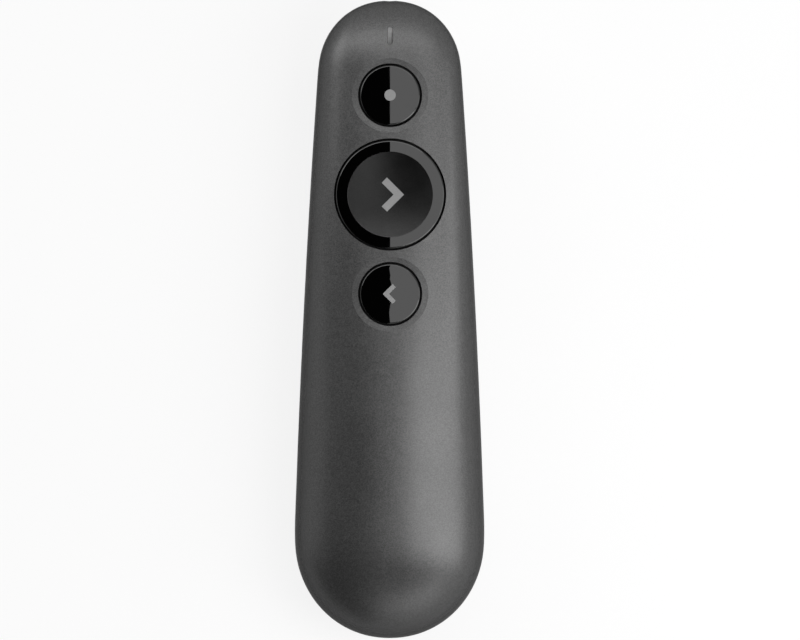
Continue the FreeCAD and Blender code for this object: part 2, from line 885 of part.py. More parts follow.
def laser_window():
    """Clear window in the tip."""
    front = tip_y - window_recess
    return rod(0, laser_z, laser_bore_radius - window_half_gap, front - window_thickness, front)


# Battery bay

def battery_tray():
    """Tray over the cells, open below, with screw ears and the receiver's dock."""
    low = cup_height
    tail = bay_tail_y - tray_wall
    tip = bay_tip_y + tray_wall
    tray = box(-tray_half_width, tray_half_width, tail, tip, low, tray_top_z)
    tray = tray.cut(box(-bay_half_width, bay_half_width, bay_tail_y, bay_tip_y, low - overrun,
                        tray_under_z))
    tray = tray.fuse(box(-divider_half_width, divider_half_width, tail, tip,
                         tray_under_z - divider_drop, tray_top_z))
    dock_half = plug_width / 2 + dock_gap + dock_wall
    tray = tray.fuse(box(-dock_half, dock_half, dock_mouth_y, bay_tail_y, dock_under_z, tray_top_z))
    pocket_x = plug_width / 2 + dock_gap
    pocket_z = plug_height / 2 + dock_gap
    tray = tray.cut(box(-pocket_x, pocket_x, dock_mouth_y - overrun, plug_end_y + dock_gap,
                        plug_centre_height - pocket_z, plug_centre_height + pocket_z))
    room = body_half(skin_inset + skin_thickness + fit_gap, False)
    room = room.fuse(box(-length, length, -length, length, skin_height + fit_gap, crown_z))
    for x, y in case_bosses:
        wall_y = tip - tray_wall if y > 0 else tail + tray_wall
        ear = post(x, y, ear_radius, low, low + ear_thickness)
        bridge_low = min(wall_y, y)
        ear = ear.fuse(box(x - ear_bridge_half_width, x + ear_bridge_half_width, bridge_low,
                           max(wall_y, y), low, low + ear_thickness))
        tray = tray.fuse(ear)
    holes = [post(x, y, spigot_radius + fit_gap, low - overrun, low + ear_thickness)
             for x, y in case_bosses]
    tab_reach = tab_half_width + fit_gap
    for side in (-1, 1):
        x = side * cell_x
        holes.append(box(x - tab_reach, x + tab_reach, bay_tip_y - contact_thickness - fit_gap,
                         bay_tip_y, tray_under_z, tray_top_z + overrun))
    return tray.cut(holes).common(room)


def cell(side, toward):
    """Cell with its raised nub, rolled edges and crimp; toward is 1 with the nub at the tip end."""
    x = side * cell_x
    end_y = bay_tip_y if toward > 0 else bay_tail_y
    nub_y = end_y - toward * (contact_thickness + contact_slack)
    shoulder_y = nub_y - toward * nub_height
    foot_y = nub_y - toward * cell_length
    body = rod(x, cell_axis_z, cell_radius, min(shoulder_y, foot_y), max(shoulder_y, foot_y))
    body = body.makeFillet(cell_edge, [edge for edge in body.Edges if edge.BoundBox.YLength < fit_gap])
    crimp_y = shoulder_y - toward * crimp_from_end
    groove = Part.makeTorus(cell_radius + crimp_width / 2, crimp_width / 2 + crimp_depth,
                            Vector(x, crimp_y, cell_axis_z), Vector(0, 1, 0))
    root_y = shoulder_y - toward * nub_height
    nub = rod(x, cell_axis_z, nub_radius, min(root_y, nub_y), max(root_y, nub_y))
    return body.cut(groove).fuse(nub)


def contact_leaf(x0, x1, y0, y1):
    """Upright contact leaf at one end of the bay."""
    low = cell_axis_z - contact_height / 2
    return box(x0, x1, y0, y1, low, low + contact_height)


def tip_contact(side):
    """Contact at the bay's tip end, with a tab up through the tray to the board."""
    x = side * cell_x
    half = contact_half_width
    leaf = contact_leaf(x - half, x + half, bay_tip_y - contact_thickness, bay_tip_y)
    tab = box(x - tab_half_width, x + tab_half_width, bay_tip_y - contact_thickness, bay_tip_y,
              cell_axis_z, board_under_z)
    return leaf.fuse(tab)


def bridge_contact():
    """Contact at the bay's tail end, which joins the two cells."""
    reach = cell_x + contact_half_width
    return contact_leaf(-reach, reach, bay_tail_y, bay_tail_y + contact_thickness)


def biarc(start, start_way, end, end_way):
    """Two arcs from one point and direction to another that meet in line."""
    chord = end - start
    ways = start_way + end_way
    across = chord.dot(ways)
    bend = 2 * (1 - start_way.dot(end_way))
    reach = (math.sqrt(across ** 2 + bend * chord.dot(chord)) - across) / bend
    joint = (start + end + (start_way - end_way) * reach) * 0.5
    joint_way = (joint - start - start_way * reach).normalize()
    return [tangent_arc(start, start_way, joint), tangent_arc(joint, joint_way, end)]


def tangent_arc(start, way, end):
    """Arc between two points that leaves the first one along a direction."""
    chord = end - start
    along = Vector(chord).normalize()
    side = way - along * way.dot(along)
    turn = math.atan2(side.Length, way.dot(along))
    middle = (start + end) * 0.5 + Vector(side).normalize() * (chord.Length / 2 * math.tan(turn / 2))
    return Part.Arc(start, middle, end).toShape()


def battery_spring(side, base_y, toward):
    """Conical spring, one tube that narrows from its contact to its cell."""
    x = side * cell_x
    rise = spring_length - contact_slack - 2 * spring_wire_radius
    start_y = base_y + toward * spring_wire_radius
    quarters = round(4 * spring_turns_share)
    points = []
    ways = []
    for number in range(quarters + 1):
        share = number / quarters
        turn = math.pi / 2 * number
        radius = spring_wide_radius + (spring_narrow_radius - spring_wide_radius) * share
        points.append(Vector(x + radius * math.cos(turn), start_y + toward * rise * share,
                             cell_axis_z + radius * math.sin(turn)))
        shrink = (spring_narrow_radius - spring_wide_radius) / (quarters * math.pi / 2)
        climb = toward * rise / (quarters * math.pi / 2)
        ways.append(Vector(shrink * math.cos(turn) - radius * math.sin(turn), climb,
                           shrink * math.sin(turn) + radius * math.cos(turn)).normalize())
    edges = []
    for number in range(quarters):
        edges += biarc(points[number], ways[number], points[number + 1], ways[number + 1])
    section = Part.Wire([Part.Circle(points[0], ways[0], spring_wire_radius).toShape()])
    coil = Part.Wire(edges).makePipeShell([section], True, False)
    gap = rise / spring_turns_share - 2 * spring_wire_radius
    print("spring self gap at least", round(gap, 3), "closed", coil.isClosed(), coil.Volume)
    return coil


# USB receiver

def receiver_head():
    """Plastic head of the receiver, flush with the tail, with a nail notch and a socket for its plug."""
    low = plug_centre_height - receiver_height / 2
    room = box(-receiver_half_width, receiver_half_width, tail_y - overrun, receiver_inner_y,
               low, low + receiver_height)
    head = rear_skin.common(room)
    head = head.cut(box(-plug_width / 2, plug_width / 2, receiver_inner_y - plug_socket_depth,
                        receiver_inner_y + overrun, plug_centre_height - plug_height / 2,
                        plug_centre_height + plug_height / 2))
    notch_z = low + receiver_height - grip_notch_from_top
    notch_y = -end_face(notch_z)
    notch = Part.makeCylinder(grip_notch_radius, 2 * receiver_half_width,
                              Vector(-receiver_half_width, notch_y, notch_z), Vector(1, 0, 0))
    middle = box(-receiver_half_width / 2, receiver_half_width / 2, tail_y - overrun,
                 receiver_inner_y, 0, crown_z)
    return head.cut(notch.common(middle))


def end_face(z):
    """Distance from the middle to the tail's surface at a height, found by halving."""
    near = 0
    far = -tail_y
    for step in range(halvings_share):
        middle = (near + far) / 2
        if rear_z(0, -middle) < z:
            near = middle
        else:
            far = middle
    return near


def receiver_plug_shell():
    """Folded metal shell of the plug, with its two square windows on top and below."""
    x = plug_width / 2
    z = plug_height / 2
    start = receiver_inner_y - plug_socket_depth
    shell = box(-x, x, start, plug_end_y, plug_centre_height - z, plug_centre_height + z)
    shell = shell.cut(box(-x + plug_wall, x - plug_wall, start - overrun, plug_end_y + overrun,
                          plug_centre_height - z + plug_wall, plug_centre_height + z - plug_wall))
    for side in (-1, 1):
        y = plug_end_y - plug_window_from_end
        centre = side * plug_window_spread
        shell = shell.cut(box(centre - plug_window_half, centre + plug_window_half,
                              y - plug_window_half, y + plug_window_half,
                              plug_centre_height - plug_height, plug_centre_height + plug_height))
    return shell


def receiver_tongue():
    """Plastic tongue inside the plug."""
    x = plug_width / 2 - plug_wall
    low = plug_centre_height - plug_height / 2 + plug_wall
    return box(-x, x, receiver_inner_y - plug_socket_depth, plug_end_y - plug_wall, low,
               low + tongue_plastic_height)


def receiver_contacts():
    """Gold contacts on the tongue."""
    low = plug_centre_height - plug_height / 2 + plug_wall + tongue_plastic_height
    pieces = []
    for number in range(receiver_contacts_share):
        x = (number - (receiver_contacts_share - 1) / 2) * receiver_contact_pitch
        pieces.append(box(x - receiver_contact_width / 2, x + receiver_contact_width / 2,
                          plug_end_y - plug_wall - receiver_contact_length, plug_end_y - plug_wall,
                          low, low + receiver_contact_height))
    return Part.makeCompound(pieces)


def keep(name, shape):
    """Write one piece to its file and say what it measures."""
    shape.exportStep("parts/" + name + ".step")
    print(name, len(shape.Solids), "valid", shape.isValid(), "volume", round(shape.Volume, 1))


front = front_shell()
keep("front_shell", front)
keep("rear_shell", rear_shell())
keep("battery_door", battery_door())
keep("battery_tray", battery_tray())
keep("battery_left", cell(-1, 1))
keep("battery_right", cell(1, -1))
keep("plate_contact", tip_contact(-1))
keep("spring_contact", tip_contact(1))
keep("bridge_contact", bridge_contact())
keep("battery_spring_left", battery_spring(-1, bay_tail_y + contact_thickness, 1))
keep("battery_spring_right", battery_spring(1, bay_tip_y - contact_thickness, -1))
keep("case_screws", case_screws())

keep("main_board", main_board())
keep("board_screws", board_screws())
keep("radio_chip", radio_chip())
keep("crystal_can", crystal_can())
keep("board_capacitors", board_capacitors())
keep("status_led", status_led())
keep("light_pipe", light_pipe())
for name, y in (("laser", laser_y), ("next", next_y), ("back", back_y)):
    keep(name + "_switch_body", switch_body(y))
    keep(name + "_switch_stem", switch_stem(y))

dot = post(0, laser_y, dot_radius, board_top_z, crown_z + overrun)
icon, cap = inlay(small_cap(laser_y), dot, front_z(0, laser_y) + button_proud - icon_depth)
keep("laser_button_icon", icon)
keep("laser_button_cap", cap)
arrow = chevron(next_y, next_icon_arm, next_icon_stroke, 1)
arrow.translate(Vector(next_icon_offset, 0, 0))
dish_floor_z = front_z(0, next_y) + button_proud - dish_depth
icon, cap = inlay(big_cap(), arrow, dish_floor_z - icon_depth)
keep("next_button_icon", icon)
keep("next_button_cap", cap)
arrow = chevron(back_y, back_icon_arm, back_icon_stroke, -1)
arrow.translate(Vector(-back_icon_offset, 0, 0))
icon, cap = inlay(small_cap(back_y), arrow, front_z(0, back_y) + button_proud - icon_depth)
keep("back_button_icon", icon)
keep("back_button_cap", cap)

keep("laser_barrel", laser_barrel())
keep("laser_lens", laser_lens())
keep("laser_diode", laser_diode())
keep("laser_driver_board", laser_driver_board())
keep("laser_leads", laser_leads())
keep("laser_holder", laser_holder())
keep("laser_window", laser_window())

keep("receiver_head", receiver_head())
keep("receiver_plug_shell", receiver_plug_shell())
keep("receiver_tongue", receiver_tongue())
keep("receiver_contacts", receiver_contacts())
width = front.optimalBoundingBox(False, False).XLength
print("length", round(length, 2), "width", round(width, 2), "height", round(crown_z, 2))
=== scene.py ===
# %% [markdown]
# # Dressing a presentation clicker
# A presentation clicker is a slim satin shell with three gloss buttons in its front.
# The engineering model already holds every piece at its true size and place, inside and out, so this
# lesson gives the pieces their looks: paint, plastic, metal and glass, a studio and a camera.
# The frame is loaded first. Its box is kept, so that the last cell can show that nothing grew.

# %% Load the frame
import json
import math
import bpy
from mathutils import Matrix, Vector


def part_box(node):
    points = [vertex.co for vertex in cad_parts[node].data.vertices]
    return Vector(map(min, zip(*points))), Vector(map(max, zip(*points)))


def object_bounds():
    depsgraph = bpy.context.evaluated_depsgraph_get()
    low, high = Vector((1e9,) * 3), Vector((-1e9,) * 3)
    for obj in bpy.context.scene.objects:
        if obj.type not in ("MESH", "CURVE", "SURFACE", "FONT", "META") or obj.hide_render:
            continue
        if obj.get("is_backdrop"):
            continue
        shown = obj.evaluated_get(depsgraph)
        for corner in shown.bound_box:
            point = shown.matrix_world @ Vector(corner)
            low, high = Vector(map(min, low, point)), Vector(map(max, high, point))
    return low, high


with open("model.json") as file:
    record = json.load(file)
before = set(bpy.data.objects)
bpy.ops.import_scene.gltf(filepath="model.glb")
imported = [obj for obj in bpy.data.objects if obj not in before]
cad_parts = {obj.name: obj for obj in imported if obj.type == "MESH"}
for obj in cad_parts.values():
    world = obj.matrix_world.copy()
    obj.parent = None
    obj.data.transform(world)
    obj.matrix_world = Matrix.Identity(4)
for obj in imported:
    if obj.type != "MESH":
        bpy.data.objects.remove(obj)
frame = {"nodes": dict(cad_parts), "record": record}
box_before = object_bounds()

mm = 0.001
studio = bpy.context.scene
print("pieces in the frame:", len(frame["nodes"]))
print("size in mm:", [round((high - low) / mm, 1) for low, high in zip(*box_before)])

# %% [markdown]
# ## Camera
# The picture was taken from straight above. The front face lies nearer to the lens than the outline
# and shows 1.3 percent larger, which puts the lens 0.91 m above the outline.
# A long lens at that distance gives the same perspective as the real one. One pixel of the outline
# is 0.218 mm wide. The clicker stands a little left of the picture's middle while the lens was a
# little left of the clicker, so the sensor is shifted, as in a view camera.

# %% Camera
pixel = 0.217864 * mm
picture_width = 800
clicker_middle = 389.65
lens_distance = 912 * mm
outline_height = 15.25 * mm
lens_x = -8 * mm
picture_middle_x = (picture_width / 2 - clicker_middle) * pixel

camera_data = bpy.data.cameras.new("long lens")
camera_data.lens = camera_data.sensor_width * lens_distance / (picture_width * pixel)
camera_data.clip_start = 0.01
camera_data.clip_end = 50
camera = bpy.data.objects.new("camera", camera_data)
camera_data.shift_x = (picture_middle_x - lens_x) / (picture_width * pixel)
camera.location = (lens_x, 0, lens_distance + outline_height)
studio.collection.objects.link(camera)
bpy.context.scene.camera = camera
print("focal length in mm:", round(camera_data.lens, 1), "shift:", round(camera_data.shift_x, 4))

# %% [markdown]
# ## Small tools for shader trees
# Every finish below is a small tree of shader nodes. One helper adds a node and feeds its sockets,
# each by a number, a colour or another node's output. The others calculate, blend two colours or two
# numbers, bring a value from one range into another, and say where on the piece a point is.
# A Mix node has a pair of sockets for each kind of value, so the pair is picked by its place.

# %% Helpers for nodes
def feed(tree, socket, value):
    if isinstance(value, bpy.types.NodeSocket):
        tree.links.new(value, socket)
    else:
        socket.default_value = value


def add(tree, kind, sockets=(), **settings):
    made = tree.nodes.new("ShaderNode" + kind)
    for name, value in settings.items():
        setattr(made, name, value)
    for name, value in dict(sockets).items():
        feed(tree, made.inputs[name], value)
    return made


def calculate(tree, operation, first, second, clamp=False):
    return add(tree, "Math", {0: first, 1: second}, operation=operation, use_clamp=clamp).outputs[0]


def with_vectors(tree, operation, first, second):
    return add(tree, "VectorMath", {0: first, 1: second}, operation=operation).outputs


def blend_colour(tree, share, first, second):
    return add(tree, "Mix", {"Factor": share, 6: first, 7: second}, data_type="RGBA").outputs[2]


def blend_number(tree, share, first, second):
    return add(tree, "Mix", {"Factor": share, 2: first, 3: second}, data_type="FLOAT").outputs[0]


def spread(tree, value, low, high, from_low=0.0, from_high=1.0):
    made = add(tree, "MapRange", {"Value": value, "From Min": from_low, "From Max": from_high,
                                  "To Min": low, "To Max": high})
    return made.outputs["Result"]


def place_on_piece(tree):
    return add(tree, "TexCoord").outputs["Object"]


print("node helpers ready")

# %% [markdown]
# ## Groups
# Grain, mottle and edge wear serve many finishes. Each is built once as a node group and then placed
# in every material that needs it, with that material's own values, so a better grain is better
# everywhere. Copied nodes would also work, but then each copy would need the same repair.

# %% Start and place a group
def new_group(name, inputs, outputs):
    group = bpy.data.node_groups.new(name, "ShaderNodeTree")
    for label, value in inputs.items():
        kind = "NodeSocketVector" if isinstance(value, tuple) else "NodeSocketFloat"
        group.interface.new_socket(label, in_out="INPUT", socket_type=kind).default_value = value
    for label in outputs:
        group.interface.new_socket(label, in_out="OUTPUT", socket_type="NodeSocketFloat")
    start = group.nodes.new("NodeGroupInput")
    end = group.nodes.new("NodeGroupOutput")
    return group, start.outputs, end.inputs


def place(tree, group, **values):
    return add(tree, "Group", values, node_tree=group).outputs


print("group helpers ready")

# %% [markdown]
# ## Effect: fine speckle
# Satin paint on a clicker holds tiny flakes, and moulded plastic has a spark-eroded grain. Both are
# cells one or two tenths of a millimetre wide, each a little lighter or darker than the next.
# A cell pattern in the piece's own coordinates gives them at a true size. It could be an image, but a
# procedural pattern has no seams and no limit when the camera comes close.

# %% Fine speckle
def make_fine_speckle():
    group, given, result = new_group("fine speckle", {"Size": 0.2, "Contrast": 0.3}, ["Tone", "Height"])
    scale = calculate(group, "DIVIDE", 1 / mm, given["Size"])
    cells = add(group, "TexVoronoi", {"Vector": place_on_piece(group), "Scale": scale})
    shade = add(group, "SeparateColor", {"Color": cells.outputs["Color"]}).outputs[0]
    middle_tone = 0.5
    from_middle = calculate(group, "SUBTRACT", shade, middle_tone)
    swing = calculate(group, "MULTIPLY", from_middle, given["Contrast"])
    feed(group, result["Tone"], calculate(group, "ADD", swing, middle_tone, clamp=True))
    feed(group, result["Height"], calculate(group, "SUBTRACT", 1.0, cells.outputs["Distance"]))
    return group


fine_speckle = make_fine_speckle()
print("fine speckle:", len(fine_speckle.nodes), "nodes")

# %% [markdown]
# ## Effect: soft mottle
# Hands polish some places and leave others dull, so no real surface has one roughness. A slow noise
# with a little detail moves a value between a low and a high end. The noise itself keeps mostly
# between 0.3 and 0.7, so that range is the one that is spread.

# %% Soft mottle
def make_soft_mottle():
    group, given, result = new_group("soft mottle", {"Size": 8.0, "Low": 0.3, "High": 0.5}, ["Value"])
    scale = calculate(group, "DIVIDE", 1 / mm, given["Size"])
    where = place_on_piece(group)
    noise = add(group, "TexNoise", {"Vector": where, "Scale": scale, "Detail": 2.0}).outputs["Fac"]
    value = spread(group, noise, given["Low"], given["High"], from_low=0.3, from_high=0.7)
    feed(group, result["Value"], value)
    return group


soft_mottle = make_soft_mottle()
print("soft mottle:", len(soft_mottle.nodes), "nodes")

# %% [markdown]
# ## Effect: edge wear
# Paint and plating go first where an edge is touched. A bevel node looks a set reach round a point:
# where its rounded normal leaves the true normal, an edge is near. Noise breaks the line up, because
# wear is never even.

# %% Edge wear
def make_edge_wear():
    group, given, result = new_group("edge wear", {"Reach": 0.15, "Amount": 0.5}, ["Mask"])
    reach = calculate(group, "MULTIPLY", given["Reach"], mm)
    rounded = add(group, "Bevel", {"Radius": reach}, samples=4).outputs["Normal"]
    true = add(group, "NewGeometry").outputs["Normal"]
    agreement = with_vectors(group, "DOT_PRODUCT", rounded, true)["Value"]
    near = spread(group, agreement, 1.0, 0.0, from_low=0.75, from_high=0.995)
    where = place_on_piece(group)
    noise = add(group, "TexNoise", {"Vector": where, "Scale": 600.0, "Detail": 3.0}).outputs["Fac"]
    broken = spread(group, noise, 0.0, 1.0, from_low=0.4, from_high=0.62)
    patchy = calculate(group, "MULTIPLY", near, broken)
    feed(group, result["Mask"], calculate(group, "MULTIPLY", patchy, given["Amount"], clamp=True))
    return group


edge_wear = make_edge_wear()
print("edge wear:", len(edge_wear.nodes), "nodes")

# %% [markdown]
# ## Effect: drawn lines
# Rolled, drawn and turned metal carries fine lines in one direction. Noise that is squeezed across
# the lines and stretched along them gives their tone and their height.

# %% Drawn lines
def make_drawn_lines():
    group, given, result = new_group("drawn lines", {"Stretch": (4000, 60, 4000)}, ["Tone", "Height"])
    stretched = with_vectors(group, "MULTIPLY", place_on_piece(group), given["Stretch"])["Vector"]
    noise = add(group, "TexNoise", {"Vector": stretched, "Scale": 1.0, "Detail": 2.0}).outputs["Fac"]
    feed(group, result["Tone"], spread(group, noise, 0.0, 1.0, from_low=0.3, from_high=0.7))
    feed(group, result["Height"], noise)
    return group


drawn_lines = make_drawn_lines()
print("drawn lines:", len(drawn_lines.nodes), "nodes")

# %% [markdown]
# ## Effect: band
# Some pieces are made of two stuffs that meet at a line: a cell's sleeve ends short of its rim, a
# switch has a metal lid on a plastic body. A band is 1 between two places along a direction.

# %% Band along a direction
def make_band():
    group, given, result = new_group("band", {"Along": (0, 0, 1), "From": 0.0, "To": 1.0}, ["Mask"])
    along = with_vectors(group, "DOT_PRODUCT", place_on_piece(group), given["Along"])["Value"]
    along_mm = calculate(group, "DIVIDE", along, mm)
    above = calculate(group, "GREATER_THAN", along_mm, given["From"])
    below = calculate(group, "LESS_THAN", along_mm, given["To"])
    feed(group, result["Mask"], calculate(group, "MULTIPLY", above, below))
    return group


band = make_band()
print("band:", len(band.nodes), "nodes")

# %% [markdown]
# ## Effect: round patch
# The dish of the middle button is satin and its rim is gloss, and a cap is polished on its top alone.
# A round patch is 1 inside a circle seen from above, with an edge a tenth of a millimetre soft.

# %% Round patch
def make_round_patch():
    group, given, result = new_group("round patch", {"Centre": (0, 0, 0), "Radius": 9.0}, ["Mask"])
    flat = with_vectors(group, "MULTIPLY", place_on_piece(group), (1, 1, 0))["Vector"]
    away = with_vectors(group, "DISTANCE", flat, given["Centre"])["Value"]
    inside = calculate(group, "SUBTRACT", given["Radius"], calculate(group, "DIVIDE", away, mm))
    feed(group, result["Mask"], spread(group, inside, 0.0, 1.0, from_low=-0.05, from_high=0.05))
    return group


round_patch = make_round_patch()
print("round patch:", len(round_patch.nodes), "nodes")

# %% [markdown]
# ## Materials
# A material starts as a Principled shader. Its constant values are set on its own sockets, and the
# effects feed only what changes over the surface: base colour, roughness, metallic and bump.
# Colours are given as shares of the light that comes back, and a worn or shaded colour is scaled
# from the plain one.

# %% Start a material
finishes = {}


def new_finish(slot, **values):
    made = bpy.data.materials.new(slot)
    made.use_nodes = True
    shader = made.node_tree.nodes["Principled BSDF"]
    for name, value in values.items():
        shader.inputs[name.replace("_", " ")].default_value = value
    finishes[slot] = made
    return made.node_tree, shader.inputs


def bump(tree, shader, height, depth):
    made = add(tree, "Bump", {"Height": height, "Strength": 1.0, "Distance": depth * mm})
    feed(tree, shader["Normal"], made.outputs["Normal"])


def grey(level, warm=0.0):
    return (level * (1 + warm), level, level * (1 - warm), 1)


def scaled(colour, factor, lift=0.0):
    return tuple(min(1, factor * share + lift) for share in colour[:3]) + (1,)


def tell(slot):
    print(slot, "has", len(finishes[slot].node_tree.nodes), "nodes")


print("material helpers ready")

# %% [markdown]
# ### Satin shell paint
# The shell, the rear and the battery door share one graphite satin paint. It is dark and nearly
# neutral, with fine flakes that sparkle a little, dull patches from handling, and a thin light line
# where an edge has rubbed. Front and rear meet in a hairline round the sides, which climbs towards
# the tip. The two solids touch there with no gap, so the shade inside the hairline is painted as a
# narrow dark band.
# An image of a paint sample would repeat over so large a shell, so cells make the flakes.

# %% Satin shell paint
half_length = 69.4
seam_height = 15.25
seam_climb = 1.75
seam_half_width = 0.1


def make_satin_shell():
    tree, shader = new_finish("satin_shell", Metallic=0.7, Specular_Tint=grey(0.05))
    flakes = place(tree, fine_speckle, Size=0.16, Contrast=0.9)
    body = blend_colour(tree, flakes["Tone"], grey(0.062), grey(0.102))
    worn = place(tree, edge_wear, Reach=0.12, Amount=0.35)["Mask"]
    painted = blend_colour(tree, worn, body, grey(0.17))
    # The narrow dark band along the seam is painted shade, standing in for the shadow in the hairline
    # gap between the shells.
    painted_seam_shade = place(tree, band, Along=(0, -seam_climb / half_length, 1),
                 From=seam_height - seam_half_width, To=seam_height + seam_half_width)["Mask"]
    feed(tree, shader["Base Color"], blend_colour(tree, painted_seam_shade, painted, grey(0.006)))
    slow = place(tree, soft_mottle, Size=14.0, Low=0.36, High=0.42)["Value"]
    fleck = spread(tree, flakes["Tone"], -0.05, 0.05)
    feed(tree, shader["Roughness"], calculate(tree, "ADD", slow, fleck))
    bump(tree, shader, flakes["Height"], depth=0.004)


make_satin_shell()
tell("satin_shell")

# %% [markdown]
# ### Gloss caps
# The three caps are piano-black plastic, so black that only their reflections show. The middle one
# has a satin dish. Finger prints are a slow change of roughness, too small to blur the edge of what
# a cap reflects. Only the top is polished. Beyond its rim the mould was left dull, which keeps the
# gap round each cap dark, so a patch of each cap's radius parts polished from dull.

# %% Gloss caps
dish_middle = (0, 27.0 * mm, 0)
dish_radius = 9.15
dish_metallic = 0.9
side_roughness = 0.75
polished_radius = {"laser_button_cap": 6.42, "next_button_cap": 11.62, "back_button_cap": 6.42}


def polished_tops(tree):
    tops = 0.0
    for cap, radius in polished_radius.items():
        low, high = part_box(cap)
        top = place(tree, round_patch, Centre=(0, (low.y + high.y) / 2, 0), Radius=radius)["Mask"]
        tops = calculate(tree, "MAXIMUM", top, tops)
    return tops


def make_gloss_cap():
    tree, shader = new_finish("gloss_cap")
    dish = place(tree, round_patch, Centre=dish_middle, Radius=dish_radius)["Mask"]
    grain = place(tree, fine_speckle, Size=0.12, Contrast=0.8)
    satin = blend_colour(tree, grain["Tone"], grey(0.012), grey(0.018))
    worn = place(tree, edge_wear, Reach=0.08, Amount=0.3)["Mask"]
    black = blend_colour(tree, worn, grey(0.0006), grey(0.02))
    feed(tree, shader["Base Color"], blend_colour(tree, dish, black, satin))
    polished = place(tree, soft_mottle, Size=5.0, Low=0.0, High=0.02)["Value"]
    dulled = place(tree, soft_mottle, Size=3.0, Low=0.31, High=0.36)["Value"]
    top = blend_number(tree, dish, polished, dulled)
    feed(tree, shader["Roughness"], blend_number(tree, polished_tops(tree), side_roughness, top))
    feed(tree, shader["Metallic"], calculate(tree, "MULTIPLY", dish, dish_metallic))
    bump(tree, shader, calculate(tree, "MULTIPLY", dish, grain["Height"]), depth=0.003)


make_gloss_cap()
tell("gloss_cap")

# %% [markdown]
# ### Icon print
# The signs on the caps are light grey inlays with a fine matt grain. They are solids of their own,
# let into the caps, so a plain finish with a little grain is enough, with no picture laid on a cap.

# %% Icon print
def make_icon_print():
    tree, shader = new_finish("icon_print")
    grain = place(tree, fine_speckle, Size=0.1, Contrast=0.7)
    feed(tree, shader["Base Color"], blend_colour(tree, grain["Tone"], grey(0.185), grey(0.225)))
    feed(tree, shader["Roughness"], spread(tree, grain["Tone"], 0.5, 0.62))
    bump(tree, shader, grain["Height"], depth=0.003)


make_icon_print()
tell("icon_print")

# %% [markdown]
# ### Light pipe
# The status light shines through a milky insert. Clear glass would show the dark inside of the
# shell, so only about a third of the light passes, and the rest is scattered by a cloudy grey.

# %% Light pipe
def make_pipe_clear():
    tree, shader = new_finish("pipe_clear", Transmission_Weight=0.35, IOR=1.49)
    cloud = place(tree, soft_mottle, Size=0.8, Low=0.0, High=1.0)["Value"]
    feed(tree, shader["Base Color"], blend_colour(tree, cloud, grey(0.26), grey(0.34)))
    feed(tree, shader["Roughness"], spread(tree, cloud, 0.28, 0.4))
    bump(tree, shader, cloud, depth=0.004)


make_pipe_clear()
tell("pipe_clear")

# %% [markdown]
# ### Moulded plastics
# Tray, receiver, stems, leads, status light and chips are all moulded or sleeved plastic. One
# function gives each its own tone, grain and gloss, with mould grain as bump and worn edges a little
# lighter.

# %% Moulded plastics
def make_moulded(slot, dark, light, grain_size, rough, wear=0.4):
    tree, shader = new_finish(slot)
    grain = place(tree, fine_speckle, Size=grain_size, Contrast=0.8)
    body = blend_colour(tree, grain["Tone"], dark, light)
    worn = place(tree, edge_wear, Reach=0.1, Amount=wear)["Mask"]
    feed(tree, shader["Base Color"], blend_colour(tree, worn, body, scaled(light, 1.7, lift=0.02)))
    handled = place(tree, soft_mottle, Size=3.0, Low=rough - 0.05, High=rough + 0.06)["Value"]
    feed(tree, shader["Roughness"], handled)
    bump(tree, shader, grain["Height"], depth=0.004)
    tell(slot)


make_moulded("tray_plastic", grey(0.018), grey(0.028), grain_size=0.18, rough=0.52)
make_moulded("receiver_plastic", grey(0.012), grey(0.02), grain_size=0.14, rough=0.40)
make_moulded("stem_plastic", (0.22, 0.20, 0.17, 1), (0.27, 0.25, 0.21, 1), grain_size=0.1, rough=0.45)
make_moulded("lead_sleeve", (0.30, 0.012, 0.010, 1), (0.38, 0.02, 0.015, 1), grain_size=0.08, rough=0.35)
make_moulded("led_body", (0.62, 0.60, 0.52, 1), (0.74, 0.72, 0.62, 1), grain_size=0.1, rough=0.30)
make_moulded("chip_epoxy", grey(0.010), grey(0.018), grain_size=0.06, rough=0.55, wear=0.2)

# %% [markdown]
# ### Metals
# Springs, contacts, screws, cans and the barrel differ in colour and in the run of their lines. One
# function gives each its metal, its lines along the way it was drawn or turned, and bright edges.
# The lines are given by the noise's scale a metre along x, y and z, so they run where the numbers
# are small: along a contact, and round a turned screw or barrel. A spring has no run of its own.

# %% Metals
def make_metal(slot, dark, light, lines, rough, tarnish=None):
    tree, shader = new_finish(slot, Metallic=1.0)
    drawn = place(tree, drawn_lines, Stretch=lines)
    body = blend_colour(tree, drawn["Tone"], dark, light)
    if tarnish:
        spots = place(tree, soft_mottle, Size=1.5, Low=0.0, High=0.7)["Value"]
        body = blend_colour(tree, spots, body, tarnish)
    worn = place(tree, edge_wear, Reach=0.08, Amount=0.6)["Mask"]
    feed(tree, shader["Base Color"], blend_colour(tree, worn, body, scaled(light, 1.25)))
    feed(tree, shader["Roughness"], spread(tree, drawn["Tone"], rough - 0.06, rough + 0.08))
    bump(tree, shader, drawn["Height"], depth=0.004)
    tell(slot)


